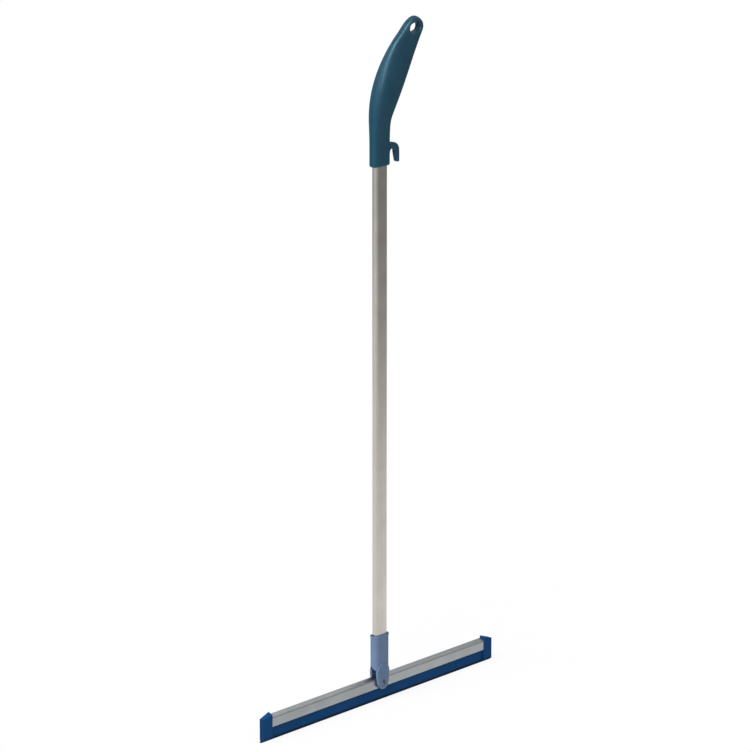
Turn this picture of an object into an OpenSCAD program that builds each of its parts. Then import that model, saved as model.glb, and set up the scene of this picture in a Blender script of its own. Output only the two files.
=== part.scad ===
// Floor squeegee: rubber blade in a slim metal profile, tilting yoke, flat-oval tube and curved grip.
// Millimetres, Z up, blade along X, front towards -Y, origin on the floor under the tube.

/* [Blade] */
// length of the rubber blade over its end blocks
blade_len = 550; // [400:10:700]
// height of rubber showing under the profile
blade_show = 20.9; // [18:0.1:28]
// step from the profile's face back to the rubber's face
blade_inset = 0.4; // [0.2:0.1:0.8]
// length of each raised end block
end_len = 20; // [14:1:26]
// rise of the end block above the profile's top
end_rise = 3; // [1:0.1:4]
// fall of the end block's top towards its outer end
end_drop = 6.8; // [2:0.1:11]
// rise of the end block's top from front to back
end_tip = 2.4; // [0.5:0.1:4]
// step of the end block out of the profile's face
end_proud = 0.4; // [0.2:0.1:0.8]
// corner radius of the end block's outer end
end_corner = 1.6; // [0.8:0.2:2.4]
// depth of the groove between the two wiping lips
lip_groove = 4; // [2:0.5:7]
// width of the groove between the two wiping lips
lip_gap = 1.8; // [1:0.2:2.6]
// bevel on the outside of each wiping lip
lip_bevel = 1; // [0.4:0.1:1.6]

/* [Profile] */
// thickness of the profile from front to back
profile_t = 8.2; // [7.8:0.1:9.4]
// height of the profile's front face
profile_h = 16.7; // [15.4:0.1:19]
// rise of the sloping top from front to back
profile_rise = 3.8; // [1:0.1:5]
// wall thickness of the profile
profile_wall = 1.2; // [1:0.1:1.4]
// inward return at the profile's mouth
mouth_lip = 0.8; // [0.5:0.1:1]
// height of the inward return
mouth_lip_h = 1.6; // [1:0.1:2]
// bevel along the profile's outer edges
profile_bevel = 0.5; // [0.3:0.1:1]
// distance of the groove line below the front top edge
groove_drop = 1.4; // [1.2:0.1:3]
// width of the groove line
groove_w = 1; // [0.6:0.1:1.2]
// depth of the groove line
groove_d = 0.5; // [0.2:0.1:0.7]

/* [Pivot] */
// height of the pivot above the profile's lower edge
pivot_up = 9.3; // [8.2:0.1:9.8]
// diameter of the pivot screw's shank
pivot_d = 6; // [5:0.1:6.4]
// wall thickness of the sleeve round the screw
bush_wall = 1.5; // [1:0.1:1.8]
// thickness of each friction washer
friction_t = 0.6; // [0.4:0.1:1]
// outer diameter of the friction washers
friction_d = 13.6; // [12:0.2:14]
// diameter of the pivot screw's head
head_d = 10.4; // [9:0.2:12]
// height of the pivot screw's head
head_h = 2.6; // [2:0.1:3]
// depth of the recess that takes the head
head_sink = 0.8; // [0.4:0.1:1.2]
// size of the hexagon hole in the head, across flats
hex_af = 4; // [3:0.5:4.5]
// depth of the hexagon hole
hex_deep = 1.8; // [1.2:0.1:2]
// size of the nut, across flats
nut_af = 10; // [9:0.5:11]
// height of the nut's hexagon
nut_h = 3.6; // [3:0.1:4.2]
// height of the round collar on the nut
nut_collar = 1.2; // [0.8:0.1:1.4]
// thickness of the washer under the nut
nut_washer_t = 0.8; // [0.6:0.1:1]
// step from the nut's flats in to its collar
nut_step = 0.4; // [0.2:0.1:0.8]
// length of screw that shows past the nut
screw_past = 0.4; // [0.2:0.1:1.5]

/* [Yoke] */
// width of each ear at its rounded top
ear_w = 27.8; // [26:0.2:31]
// radius of each ear's lower end, about the pivot
ear_low_r = 11.5; // [9:0.5:12.5]
// step of the ear out of the socket's face
ear_proud = 0.6; // [0.3:0.1:1.2]
// height of the ear's top above the slot's roof
ear_over = 6.1; // [4:0.1:9]
// open height between the profile's top and the slot's roof
slot_open = 17.6; // [15:0.2:22]
// solid height between the slot's roof and the socket's floor
socket_floor = 10; // [8:0.5:14]
// depth of the socket that takes the tube
socket_depth = 45; // [36:1:60]
// wall thickness of the socket at its broad faces
face_wall = 2.1; // [1.8:0.1:2.8]
// wall thickness of the socket at its rounded ends
end_wall = 3.4; // [2.6:0.1:4]
// height of the bead round the socket's mouth
bead_h = 3.5; // [2:0.1:5]
// step of the bead out of the socket's wall
bead_out = 0.4; // [0.2:0.1:0.8]
// step of the wider mouth round the tube
mouth_out = 0.5; // [0.3:0.1:0.8]
// depth of the wider mouth
mouth_deep = 1.4; // [0.8:0.1:2.5]

/* [Tube] */
// wide side of the flat-oval tube
tube_w = 28.5; // [27:0.5:30]
// narrow side of the flat-oval tube
tube_d = 12; // [11.6:0.1:13]
// wall thickness of the tube
tube_wall = 1.2; // [1:0.1:1.6]
// length of tube that shows between yoke and grip
tube_show = 774; // [600:1:1000]
// length of tube inside the grip
tube_in_grip = 66; // [58:1:70]
// length of the plugs inside the tube's ends
plug_len = 36; // [32:1:40]
// thickness of the plugs' flanges
plug_flange = 2; // [1.5:0.1:3]

/* [Grip] */
// height of the grip from its collar to its top
grip_len = 229.5; // [224:0.5:240]
// width of the collar in the plane of the bend
collar_w = 38.5; // [37:0.5:40]
// height of the straight collar
collar_h = 30; // [24:1:40]
// thickness of the collar
collar_t = 22; // [21:0.5:25]
// thickness of the grip at its fullest
belly_t = 31; // [29:0.5:35]
// thickness of the grip just under its rounded top
top_t = 18; // [15:0.5:22]
// height where the grip begins to bend
bend_start = 71.5; // [68:0.5:76]
// angle through which the convex back edge has turned at the grip's top
back_turn = 66.7; // [58:0.1:75]
// width between the back and palm edges, drawn on to the grip's top
top_w = 26.8; // [22:0.2:32]
// length over which the palm edge turns into its lean
palm_soft = 4.3; // [2:0.1:7]
// height of the rounded top
tip_h = 26; // [22:0.5:30]
// squareness of the grip's cross-section, 2 for an ellipse
grip_square = 2.4; // [2:0.1:3]
// radius of the collar's lower edge
collar_edge = 3.5; // [1.5:0.1:4.2]
// wall thickness of the hollow part
grip_wall = 3; // [2.4:0.1:3.6]
// solid height above the tube before the hollow begins
hollow_floor = 8; // [5:0.5:12]
// height of the hollow's top below the grip's top
hollow_roof = 50; // [46:1:60]
// radius of the hanging hole
hang_r = 7.4; // [6:0.1:8]
// length of the hanging hole's straight wall
hang_land = 4; // [3:0.5:7]
// depth of the hanging hole's centre under the grip's top
hang_drop = 17.5; // [16.5:0.5:19]
// slope of the dished rim round the hanging hole
hang_dish = 48; // [40:1:50]

/* [Hook] */
// open width between the collar and the hook
hook_gap = 14.6; // [12:0.2:18]
// thickness of the hook's leg
hook_t = 8; // [6:0.2:9.5]
// width of the hook from front to back
hook_w = 8; // [6:0.5:11]
// height of the hook's root above the collar's lower end
hook_z = 25.5; // [20:0.5:28]
// height of the hook's root
hook_root = 9.5; // [8:0.5:13]
// height of the hook's tip above the collar's lower end
hook_tip = 2; // [0:0.5:6]

/* [Screws] */
// shank diameter of the thread-forming screws
screw_d = 3.5; // [3:0.1:4]
// head diameter of the thread-forming screws
screw_head_d = 6.4; // [5.8:0.1:7]
// head height of the thread-forming screws
screw_head_h = 2.3; // [1.8:0.1:2.6]
// width of the cross slots in those heads
cross_w = 0.9; // [0.6:0.1:1.2]
// depth of the cross slots in those heads
cross_d = 1.1; // [0.7:0.1:1.3]
// depth of the grip screws' heads below the back face
sink_d = 0.6; // [0.3:0.1:1]
// wall of the boss round the middle grip screw
boss_wall = 2.2; // [1.6:0.1:3]

/* [Fits] */
// radial running clearance of the screw in its sleeve
run_fit = 0.05; // [0.02:0.01:0.08]
// clearance between pieces that are fixed together
seat_fit = 0.1; // [0.05:0.05:0.2]
// clearance between pieces that turn past each other
pass_fit = 0.4; // [0.3:0.1:0.6]

/* [Hidden] */
$fn = 64;

// reach of a cutting tool past the piece it cuts
over = 1;
// a length longer than any piece is wide
far = 200;

// profile section
half_t = profile_t / 2;
end_half = half_t + end_proud;
profile_slope = profile_rise / profile_t;
profile_z = blade_show + profile_h;
profile_len = blade_len - 2 * end_len;
inner_half = half_t - profile_wall;
mouth_half = inner_half - mouth_lip;
ceiling_drop = profile_wall * sqrt(1 + profile_slope * profile_slope);
function top_at(y) = profile_z + (y + half_t) * profile_slope;

// pivot stack, along Y
pivot_z = blade_show + pivot_up;
pivot_r = pivot_d / 2;
bush_r = pivot_r + run_fit + bush_wall;
slot_half = half_t + friction_t + run_fit;

// yoke
socket_w = tube_w + 2 * (seat_fit + end_wall);
socket_d = tube_d + 2 * (seat_fit + face_wall);
ear_y = socket_d / 2 + ear_proud;
roof_z = top_at(0) + slot_open;
ear_top = roof_z + ear_over;
ear_r = ear_w / 2;
ear_z = ear_top - ear_r;
ear_taper = asin((ear_r - ear_low_r) / (ear_z - pivot_z));
floor_z = roof_z + socket_floor;
rim_z = floor_z + socket_depth;
head_seat = -ear_y + head_sink;
nut_seat = ear_y + nut_washer_t;
nut_r = nut_af / 2 / cos(30);
screw_end = nut_seat + nut_h + nut_collar + screw_past;

// tube
tube_low = floor_z + plug_flange;
collar_z = rim_z + tube_show;
tube_top = collar_z + tube_in_grip;
plug_w = tube_w - 2 * (tube_wall + seat_fit);
plug_d = tube_d - 2 * (tube_wall + seat_fit);
socket_screw_z = tube_low + plug_len / 2;

// grip
half_collar = collar_w / 2;
bend_len = grip_len - bend_start;
back_r = bend_len / sin(back_turn);
palm_slope = (top_w - collar_w + back_r * (1 - cos(back_turn))) / bend_len;
cap_z = grip_len - tip_h;
// sideways shift of the tip, and how fully its width and thickness close
cap_shift = -19.3;
cap_power = 3.46;
tip_power = 3;
hollow_low = tube_in_grip + plug_flange + hollow_floor;
hollow_top = grip_len - hollow_roof;
screw_r = screw_d / 2;
screw_hole_r = screw_r + run_fit;
screw_head_r = screw_head_d / 2;
// span of the cross slots as a share of the head
cross_share = 0.6;
// reach of the socket screw's tip past the tube's middle
socket_tip = 1;
boss_r = screw_head_r + boss_wall;
low_screw_z = tube_in_grip - plug_len / 2;
mid_screw_z = (hollow_low + hollow_top) / 2;
top_screw_z = hollow_top + screw_head_d;
hang_z = grip_len - hang_drop;

// back edge of the grip: straight, then an arc
function back_x(z) =
    -half_collar + (z > bend_start ? back_r - sqrt(back_r * back_r - pow(z - bend_start, 2)) : 0);
// palm edge of the grip: straight, then softly into a leaning straight line
function palm_x(z) = half_collar + palm_slope * palm_soft * ln(1 + exp((z - bend_start) / palm_soft));
// share of the rounded top already climbed
function cap_u(z) = max(0, (z - cap_z) / tip_h);
// middle and half width of the grip at a height
function mid_x(z) = (back_x(z) + palm_x(z)) / 2 + cap_shift * pow(cap_u(z), 2);
function half_x(z) = (palm_x(z) - back_x(z)) / 2 * sqrt(max(0, 1 - pow(cap_u(z), cap_power)));
// half thickness of the grip: collar, belly and top joined by half waves
function ease(a, b, t) = a + (b - a) * (1 - cos(180 * min(1, max(0, t)))) / 2;
function body_y(z) = z < grip_len / 2
    ? ease(collar_t, belly_t, (z - collar_h) / (grip_len / 2 - collar_h)) / 2
    : ease(belly_t, top_t, (z - grip_len / 2) / (cap_z - grip_len / 2)) / 2;
function half_y(z) = body_y(z) * sqrt(max(0, 1 - pow(cap_u(z), tip_power)));
// inset that rounds the collar's lower edge
function edge_in(z) = z < collar_edge
    ? collar_edge - sqrt(collar_edge * collar_edge - pow(collar_edge - z, 2)) : 0;
// one rounded side of the cross-section
function soft(v) = sign(v) * pow(abs(v), 2 / grip_square);
// one level ring of the grip, with its walls moved in by an inset
function ring(z, inset_x, inset_y, sides) =
    [for (i = [0 : sides - 1])
        [mid_x(z) + (half_x(z) - inset_x - edge_in(z)) * soft(cos(360 * i / sides)),
         (half_y(z) - inset_y - edge_in(z)) * soft(sin(360 * i / sides)),
         collar_z + z]];

// level rings of the grip: steps and sides of its skin and of its hollow, and where the tip is cut level
edge_steps = 4;
body_steps = 22;
tip_steps = 8;
hollow_steps = 9;
skin_sides = 36;
hollow_sides = 28;
tip_share = 0.995;
outer_levels = concat([for (i = [0 : edge_steps - 1]) collar_edge * (1 - cos(90 * i / edge_steps))],
                      [for (i = [0 : body_steps]) collar_edge + (cap_z - collar_edge) * i / body_steps],
                      [for (i = [1 : tip_steps]) cap_z + tip_share * tip_h * sin(90 * i / tip_steps)]);
hollow_levels = [for (i = [0 : hollow_steps]) hollow_low + (hollow_top - hollow_low) * i / hollow_steps];

// solid through a stack of level rings
module loft(levels, inset_x, inset_y, sides) {
    last = len(levels) - 1;
    points = [for (z = levels) each ring(z, inset_x, inset_y, sides)];
    walls = [for (k = [0 : last - 1], i = [0 : sides - 1])
        let (a = k * sides + i, b = k * sides + (i + 1) % sides)
        each [[a, b + sides, b], [a, a + sides, b + sides]]];
    low_cap = [[for (i = [0 : sides - 1]) i]];
    high_cap = [[for (i = [sides - 1 : -1 : 0]) last * sides + i]];
    polyhedron(points = points, faces = concat(walls, low_cap, high_cap), convexity = 6);
}

// round bar along Y between two levels of Y
module bar_y(r, y0, y1) {
    translate([0, y0, 0])
        rotate([-90, 0, 0])
            cylinder(h = y1 - y0, r = r);
}

// ring along Y between two levels of Y
module ring_y(r_out, r_in, y0, y1) {
    difference() {
        bar_y(r_out, y0, y1);
        bar_y(r_in, y0 - over, y1 + over);
    }
}

// outline in X and Z, drawn out along Y about the middle
module plate_y(t) {
    rotate([90, 0, 0])
        linear_extrude(height = t, center = true)
            children();
}

// section in Y and Z, drawn out along X about the middle
module rail_x(length) {
    rotate([90, 0, 90])
        linear_extrude(height = length, center = true)
            children();
}

// flat oval with its long side along X
module oval(w, d) {
    square([w - d, d], center = true);
    for (side = [-1, 1])
        translate([side * (w - d) / 2, 0])
            circle(d = d);
}

// upright flat oval between two heights
module oval_post(w, d, z0, z1) {
    translate([0, 0, z0])
        linear_extrude(height = z1 - z0)
            oval(w, d);
}

// thread-forming screw along Y, with its head's underside at y = 0 and its tip at -length
module small_screw(length) {
    difference() {
        bar_y(screw_head_r, 0, screw_head_h);
        for (turn = [0, 90])
            rotate([0, turn, 0])
                translate([0, screw_head_h, 0])
                    cube([screw_head_d * cross_share, 2 * cross_d, cross_w], center = true);
    }
    bar_y(screw_r, -length, 0);
}

// rubber strip with two wiping lips, and the spine that fills the profile
module strip_section() {
    strip_half = half_t - blade_inset;
    spine_half = inner_half - seat_fit;
    neck_half = mouth_half - seat_fit;
    spine_low = blade_show + mouth_lip_h + seat_fit;
    spine_top = top_at(-inner_half) - ceiling_drop - seat_fit;
    polygon([[-strip_half, lip_bevel], [-strip_half + lip_bevel, 0], [-lip_gap / 2, 0], [0, lip_groove],
             [lip_gap / 2, 0], [strip_half - lip_bevel, 0], [strip_half, lip_bevel],
             [strip_half, blade_show], [-strip_half, blade_show]]);
    translate([-neck_half, blade_show - over])
        square([2 * neck_half, mouth_lip_h + 2 * over]);
    translate([-spine_half, spine_low])
        square([2 * spine_half, spine_top - spine_low]);
}

// end block in plan, with round outer corners
module end_plan() {
    translate([0, -end_half])
        square([end_len - end_corner, 2 * end_half]);
    translate([0, -end_half + end_corner])
        square([end_len, 2 * (end_half - end_corner)]);
    for (side = [-1, 1])
        translate([end_len - end_corner, side * (end_half - end_corner)])
            circle(r = end_corner);
}

// raised end block, with a top that falls outwards and towards the front
module end_block() {
    fall = end_drop / end_len;
    tip = end_tip / (2 * end_half);
    size = sqrt(1 + fall * fall + tip * tip);
    difference() {
        translate([profile_len / 2, 0, 2 * lip_bevel])
            linear_extrude(height = top_at(0) + end_rise + end_tip)
                end_plan();
        translate([profile_len / 2, 0, top_at(0) + end_rise])
            rotate([asin(tip / size), atan2(fall, 1), 0])
                translate([-far / 2, -far / 2, 0])
                    cube(far);
    }
}

module rubber_blade() {
    color([0.09, 0.23, 0.4])
        difference() {
            union() {
                rail_x(blade_len - 2 * end_corner)
                    strip_body();
                rail_x(profile_len + 2 * over)
                    strip_section();
                for (side = [0, 1])
                    mirror([side, 0, 0])
                        end_block();
            }
            translate([0, 0, pivot_z])
                bar_y(bush_r + pass_fit, -half_t - over, half_t + over);
        }
}

// strip without its spine, for the stretches under the end blocks
module strip_body() {
    intersection() {
        strip_section();
        translate([-half_t, 0])
            square([profile_t, blade_show]);
    }
}

module blade_profile() {
    top_back = profile_z + profile_rise;
    color([0.6, 0.62, 0.62])
        difference() {
            rail_x(profile_len)
                difference() {
                    polygon([[-half_t + profile_bevel, blade_show], [half_t - profile_bevel, blade_show],
                             [half_t, blade_show + profile_bevel], [half_t, top_back - profile_bevel],
                             [half_t - profile_bevel, top_at(half_t - profile_bevel)],
                             [-half_t + profile_bevel, top_at(-half_t + profile_bevel)],
                             [-half_t, profile_z - profile_bevel], [-half_t, blade_show + profile_bevel]]);
                    polygon([[-inner_half, blade_show + mouth_lip_h],
                             [inner_half, blade_show + mouth_lip_h],
                             [inner_half, top_at(inner_half) - ceiling_drop],
                             [-inner_half, top_at(-inner_half) - ceiling_drop]]);
                    translate([-mouth_half, blade_show - over])
                        square([2 * mouth_half, mouth_lip_h + 2 * over]);
                    translate([-half_t, profile_z - groove_drop])
                        polygon([[-over, groove_w], [0, groove_w / 2], [groove_d, 0], [0, -groove_w / 2],
                                 [-over, -groove_w]]);
                }
            translate([0, 0, pivot_z])
                bar_y(bush_r + run_fit, -half_t - over, half_t + over);
        }
}

module pivot_bush() {
    color([0.72, 0.66, 0.45])
        translate([0, 0, pivot_z])
            ring_y(bush_r, pivot_r + run_fit, -half_t, half_t);
}

module front_friction_washer() {
    color([0.85, 0.85, 0.82])
        translate([0, 0, pivot_z])
            ring_y(friction_d / 2, pivot_r + pass_fit, -half_t - friction_t, -half_t);
}

module back_friction_washer() {
    color([0.85, 0.85, 0.82])
        translate([0, 0, pivot_z])
            ring_y(friction_d / 2, pivot_r + pass_fit, half_t, half_t + friction_t);
}

module pivot_screw() {
    dome_r = (pow(head_d / 2, 2) + pow(head_h, 2)) / (2 * head_h);
    color([0.62, 0.64, 0.62])
        translate([0, 0, pivot_z])
            difference() {
                union() {
                    intersection() {
                        bar_y(head_d / 2, head_seat - head_h, head_seat);
                        translate([0, head_seat - head_h + dome_r, 0])
                            sphere(r = dome_r);
                    }
                    bar_y(pivot_r, head_seat, screw_end);
                }
                translate([0, head_seat - head_h - over, 0])
                    rotate([-90, 30, 0])
                        cylinder(h = over + hex_deep, r = hex_af / 2 / cos(30), $fn = 6);
            }
}

module nut_washer() {
    color([0.7, 0.71, 0.72])
        translate([0, 0, pivot_z])
            ring_y(nut_r, pivot_r + run_fit, ear_y, nut_seat);
}

module pivot_nut() {
    color([0.66, 0.67, 0.68])
        translate([0, 0, pivot_z])
            difference() {
                union() {
                    translate([0, nut_seat, 0])
                        rotate([-90, 0, 0])
                            cylinder(h = nut_h, r = nut_r, $fn = 6);
                    bar_y(nut_af / 2 - nut_step, nut_seat + nut_h, screw_end - screw_past);
                }
                bar_y(pivot_r + run_fit, nut_seat - over, screw_end + over);
            }
}

// ear outline in X and Z: a large round top, a smaller round end about the pivot, and the tangents
module ear_outline() {
    translate([0, ear_z])
        circle(r = ear_r);
    translate([0, pivot_z])
        circle(r = ear_low_r);
    polygon([for (p = [[1, ear_r, ear_z], [-1, ear_r, ear_z], [-1, ear_low_r, pivot_z],
                       [1, ear_low_r, pivot_z]])
        [p[0] * p[1] * cos(ear_taper), p[2] - p[1] * sin(ear_taper)]]);
}

module yoke() {
    roof_low = roof_z - slot_half * profile_slope;
    color([0.43, 0.54, 0.68])
        difference() {
            union() {
                oval_post(socket_w, socket_d, roof_low, rim_z);
                oval_post(socket_w + 2 * bead_out, socket_d + 2 * bead_out, rim_z - bead_h, rim_z);
                plate_y(2 * ear_y)
                    ear_outline();
            }
            // slot that straddles the profile, with a roof parallel to the profile's top
            rail_x(far)
                polygon([[-slot_half, 0], [slot_half, 0], [slot_half, roof_z + slot_half * profile_slope],
                         [-slot_half, roof_low]]);
            // socket for the tube, with a wider mouth
            oval_post(tube_w + 2 * seat_fit, tube_d + 2 * seat_fit, floor_z, rim_z + over);
            oval_post(tube_w + 2 * mouth_out, tube_d + 2 * mouth_out, rim_z - mouth_deep, rim_z + over);
            // pivot screw and the recess for its head
            translate([0, 0, pivot_z]) {
                bar_y(pivot_r + run_fit, -far, far);
                bar_y(head_d / 2 + seat_fit, -far, head_seat);
            }
            translate([0, 0, socket_screw_z])
                bar_y(screw_hole_r, 0, far);
        }
}

module lower_plug() {
    color([0.3, 0.32, 0.34])
        difference() {
            union() {
                oval_post(tube_w, tube_d, floor_z, tube_low);
                oval_post(plug_w, plug_d, tube_low, tube_low + plug_len);
            }
            translate([0, 0, socket_screw_z])
                bar_y(screw_hole_r, -plug_d / 2 + tube_wall, far);
        }
}

module socket_screw() {
    color([0.66, 0.67, 0.68])
        translate([0, socket_d / 2, socket_screw_z])
            small_screw(socket_d / 2 + socket_tip);
}

module handle_tube() {
    color([0.62, 0.62, 0.61])
        difference() {
            oval_post(tube_w, tube_d, tube_low, tube_top);
            oval_post(tube_w - 2 * tube_wall, tube_d - 2 * tube_wall, tube_low - over, tube_top + over);
            translate([0, 0, socket_screw_z])
                bar_y(screw_hole_r, 0, far);
            translate([0, 0, collar_z + low_screw_z])
                bar_y(screw_hole_r, -far, far);
        }
}

module upper_plug() {
    color([0.3, 0.32, 0.34])
        difference() {
            union() {
                oval_post(tube_w, tube_d, tube_top, tube_top + plug_flange);
                oval_post(plug_w, plug_d, tube_top - plug_len, tube_top);
            }
            translate([0, 0, collar_z + low_screw_z])
                bar_y(screw_hole_r, -far, far);
        }
}

// hook outline in X and Z, measured from the collar's lower end
module hook_outline() {
    gap_r = hook_gap / 2;
    leg_x = half_collar + hook_gap;
    out_x = leg_x + hook_t;
    top_z = hook_z + hook_root;
    turn_r = gap_r + hook_t - over;
    arch_z = hook_z - gap_r;
    difference() {
        union() {
            translate([0, arch_z])
                square([out_x - turn_r, top_z - arch_z]);
            translate([out_x - turn_r, top_z - turn_r])
                circle(r = turn_r);
            translate([leg_x, hook_tip + hook_t / 2])
                square([hook_t, top_z - turn_r - hook_tip - hook_t / 2]);
            translate([leg_x + hook_t / 2, hook_tip + hook_t / 2])
                circle(d = hook_t);
        }
        translate([half_collar + gap_r, arch_z])
            circle(r = gap_r);
        translate([half_collar - over, arch_z - far])
            square([hook_gap + over, far]);
    }
}

// seat of a grip screw's head below the back face, and the reach of its tip
function seat_y(z) = half_y(z) - screw_head_h - sink_d;
function tip_y(z) = half_y(z) - grip_wall;
grip_screws = [[0, low_screw_z], [mid_x(mid_screw_z), mid_screw_z], [mid_x(top_screw_z), top_screw_z]];

// both halves of the grip in one, before they are parted
module grip_form() {
    difference() {
        union() {
            loft(outer_levels, 0, 0, skin_sides);
            translate([0, 0, collar_z])
                plate_y(hook_w)
                    hook_outline();
        }
        difference() {
            loft(hollow_levels, grip_wall, grip_wall, hollow_sides);
            translate([grip_screws[1][0], 0, collar_z + mid_screw_z])
                bar_y(boss_r, -far, far);
        }
        oval_post(tube_w + 2 * seat_fit, tube_d + 2 * seat_fit, collar_z - over,
                  tube_top + plug_flange + seat_fit);
        // hanging hole with a dished rim on both faces
        translate([mid_x(hang_z), 0, collar_z + hang_z]) {
            bar_y(hang_r, -far, far);
            for (turn = [0, 180])
                rotate([turn - 90, 0, 0])
                    translate([0, 0, hang_land / 2])
                        cylinder(h = top_t, r1 = hang_r, r2 = hang_r + top_t * tan(hang_dish));
        }
        for (p = grip_screws)
            translate([p[0], 0, collar_z + p[1]]) {
                bar_y(screw_hole_r, -tip_y(p[1]), far);
                bar_y(screw_head_r + 2 * seat_fit, seat_y(p[1]), far);
            }
    }
}

// half space in front of the parting plane (-1) or behind it (1)
module half_space(side) {
    translate([-far, side < 0 ? -far : 0, collar_z - far])
        cube([2 * far, far, 3 * far]);
}

module grip_front_shell() {
    color([0.13, 0.26, 0.33])
        intersection() {
            grip_form();
            half_space(-1);
        }
}

module grip_back_shell() {
    color([0.13, 0.26, 0.33])
        intersection() {
            grip_form();
            half_space(1);
        }
}

// one of the three screws that join the grip's shells
module grip_screw(index) {
    p = grip_screws[index];
    color([0.66, 0.67, 0.68])
        translate([p[0], seat_y(p[1]), collar_z + p[1]])
            small_screw(seat_y(p[1]) + tip_y(p[1]) - seat_fit);
}

module grip_screw_low() {
    grip_screw(0);
}

module grip_screw_mid() {
    grip_screw(1);
}

module grip_screw_top() {
    grip_screw(2);
}

rubber_blade();
blade_profile();
pivot_bush();
front_friction_washer();
back_friction_washer();
pivot_screw();
nut_washer();
pivot_nut();
yoke();
lower_plug();
socket_screw();
handle_tube();
upper_plug();
grip_front_shell();
grip_back_shell();
grip_screw_low();
grip_screw_mid();
grip_screw_top();
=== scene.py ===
import math

import bmesh
import bpy
import numpy as np
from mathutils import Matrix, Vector


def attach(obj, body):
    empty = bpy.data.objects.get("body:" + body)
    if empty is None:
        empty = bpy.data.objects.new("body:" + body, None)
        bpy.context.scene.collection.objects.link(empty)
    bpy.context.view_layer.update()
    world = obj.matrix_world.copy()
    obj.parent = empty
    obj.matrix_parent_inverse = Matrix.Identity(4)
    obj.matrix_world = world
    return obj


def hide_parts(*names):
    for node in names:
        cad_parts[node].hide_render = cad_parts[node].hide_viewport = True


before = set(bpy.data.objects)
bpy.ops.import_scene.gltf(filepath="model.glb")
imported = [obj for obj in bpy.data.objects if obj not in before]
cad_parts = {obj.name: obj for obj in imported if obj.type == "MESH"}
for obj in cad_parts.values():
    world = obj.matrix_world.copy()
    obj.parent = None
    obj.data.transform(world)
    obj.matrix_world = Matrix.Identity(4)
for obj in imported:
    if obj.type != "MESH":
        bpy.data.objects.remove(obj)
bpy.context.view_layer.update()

MM = 0.001

# Sizes in millimetres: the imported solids' own, apart from details drawn closer to the photo

# rubber blade: a strip with two wiping lips, a shoulder under the profile and a block at each end
BLADE_LEN = 550
BLADE_SHOW = 21.2  # rubber below the profile
BLADE_INSET = 0.8  # behind the profile's faces
SHOULDER_H = 2.2
SHOULDER_OUT = 1.6  # out of the strip below it
LIP_GROOVE = 4  # height of the groove between the lips
LIP_GAP = 1.8  # groove's width at the floor
LIP_H = 2.4
LIP_LEFT = 4  # past the blade's length
LIP_RIGHT = -0.8  # past the blade's length
STRIP_BACK = 2  # short of the blade's length
NECK_LOW = 2
NECK_HIGH = 2.4
STRIP_EDGE = 0.2
LIP_EDGE = 0.3
END_LEN = 20
END_RISE = 3.8  # over the profile
END_DROP = 5.2  # fall of the top along the blade
END_TIP = 4.2  # rise of the top from front to back
END_PROUD = 0.4  # out of the profile's faces
END_OUT = 0.6  # past the blade's length
END_LOW = 2  # over the floor
END_CORNER = 0.5
END_TOP_EDGE = 0.45
END_LOW_EDGE = 0.5
END_IN_EDGE = 0.3
END_FILLET = 0.4

# heights where the painted shade near the floor starts and is full, and depth of the painted shade on the
# end faces
FLOOR_SHADE_FADE_Z = 5.5
FLOOR_SHADE_FULL_Z = 1.9
END_FACE_SHADE = 0.4

# metal profile, with a mouth for the rubber below and a groove line in front
PROFILE_T = 8.2
PROFILE_H = 16.4
PROFILE_RISE = 3.8  # rise of the top from front to back
PROFILE_WALL = 1.2
PROFILE_EDGE = 0.5
PROFILE_LOW_EDGE = 0.6
MOUTH_LIP = 0.8
MOUTH_LIP_H = 1.6
MOUTH_LIP_EDGE = 0.2
GROOVE_DROP = 1.4
GROOVE_W = 1
GROOVE_D = 0.5
GROOVE_EDGE = 0.12

# pivot: bush, friction washers, screw, nut washer and nut
PIVOT_Z = 30.2
PIVOT_R = 3
BUSH_WALL = 1.5
BUSH_EDGE = 0.25
FRICTION_T = 0.6
FRICTION_R = 6.8
RING_EDGE = 0.12
HEAD_R = 5.2
HEAD_H = 2.6
HEAD_SINK = 0.8  # into the ear
HEAD_CROWN_R = 8.06
HEAD_TOP_EDGE = 0.3
HEAD_RIM_EDGE = 0.35
HEX_AF = 4
HEX_DEEP = 2.3
HEX_EDGE = 0.25
SHANK_EDGE = 0.5
SHANK_FILLET = 0.3
SCREW_PAST = 0.4  # out of the nut
NUT_AF = 10
NUT_H = 3.6
NUT_COLLAR = 1.2
NUT_STEP = 0.4
NUT_WASHER_T = 0.8
NUT_CHAMFER = 0.9
NUT_CHAMFER_SLOPE = 1.7
NUT_EDGE = 0.15
NUT_COLLAR_EDGE = 0.5
NUT_FILLET = 0.3
NUT_BORE_EDGE = 0.2

# yoke: two ears about the profile, and a socket for the tube with a bead at its rim
EAR_R = 14.2
EAR_Z = 49.3
EAR_LOW_R = 12.4
EAR_LOW_Z = 32
EAR_Y = 8.8
EAR_FRONT = 9.5  # front ear's face
EAR_EDGE = 0.8
SLOT_HALF = 4.75
SLOT_EDGE = 0.7
ROOF_Z = 58.2
ROOF_SLOPE = 0.88
ROOF_SKIRT = 0.8  # socket below the slot's roof
FLOOR_Z = 67.1  # end of the socket's bore
RIM_Z = 112.1
SOCKET_W = 35.5
SOCKET_D = 16.4
SOCKET_EDGE = 0.6
BORE_EDGE = 0.3
BEAD_H = 3.8
BEAD_OUT = 0.6
BEAD_EDGE = 0.5
MOUTH_OUT = 2.0
MOUTH_DEEP = 4
MOUTH_EDGE = 0.5
HEAD_RECESS_EDGE = 0.4
YOKE_FILLET = 0.2
YOKE_HOLE_EDGE = 0.2

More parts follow.
